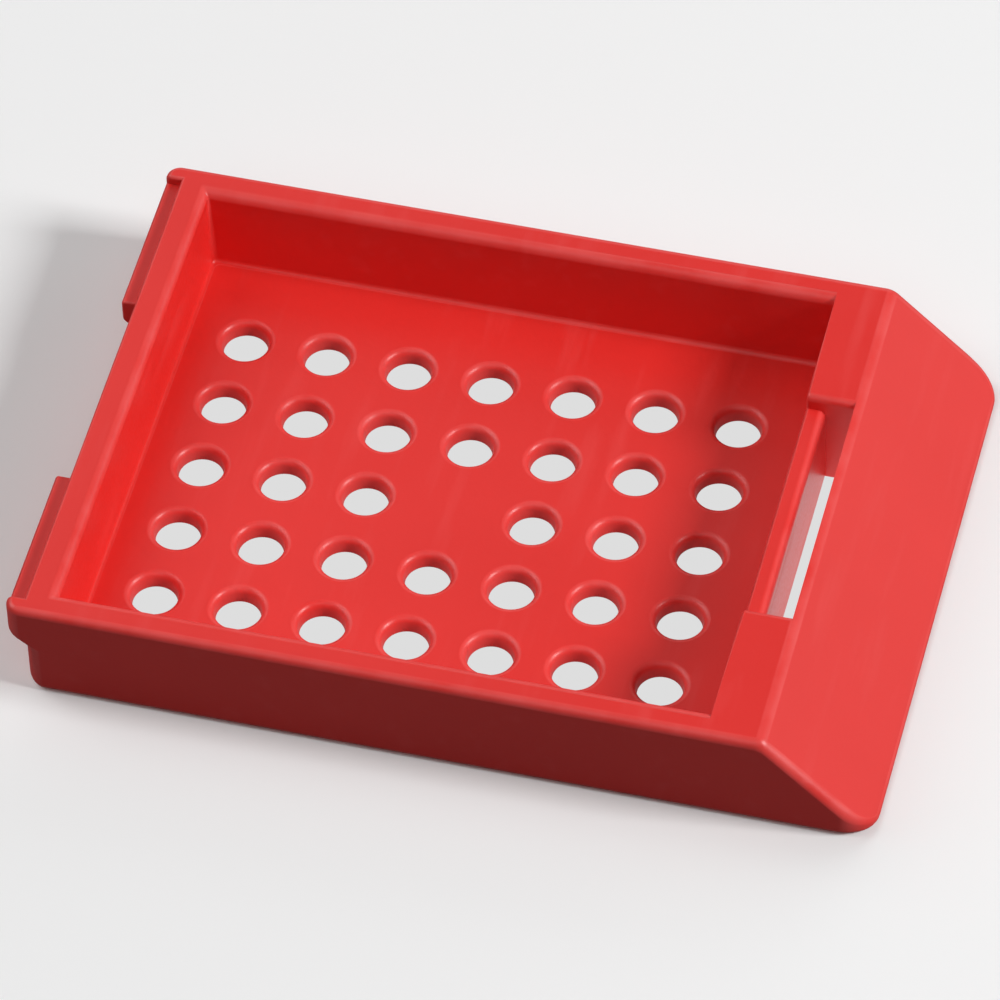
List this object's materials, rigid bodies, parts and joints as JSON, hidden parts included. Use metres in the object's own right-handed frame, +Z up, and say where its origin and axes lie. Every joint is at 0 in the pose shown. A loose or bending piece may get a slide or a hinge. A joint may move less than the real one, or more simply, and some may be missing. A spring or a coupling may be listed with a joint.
{
  "type": "tissue cassette base",
  "caption": "Shallow open tray with a perforated floor, a sloping writing panel at one end, a latch slot behind it and latch lugs at the other end; holds a tissue specimen.",
  "frame": {"origin": "on the resting plane, under the middle of the bounding box", "axes": "+X from the rear lugs to the front edge of the writing panel, +Y to the left long side, +Z up out of the tray's mouth"},
  "size_m": [0.0406, 0.0284, 0.0055],
  "materials": {
    "moulding": "opaque red acetal, satin as moulded"
  },
  "bodies": {
    "root": {"perforated_floor": "moulding", "rear_wall": "moulding", "front_wall": "moulding", "writing_panel": "moulding", "left_side_wall": "moulding", "left_rear_lug": "moulding", "left_front_deck": "moulding", "left_panel_rib": "moulding", "right_side_wall": "moulding", "right_rear_lug": "moulding", "right_front_deck": "moulding", "right_panel_rib": "moulding"}
  },
  "joints": []
}
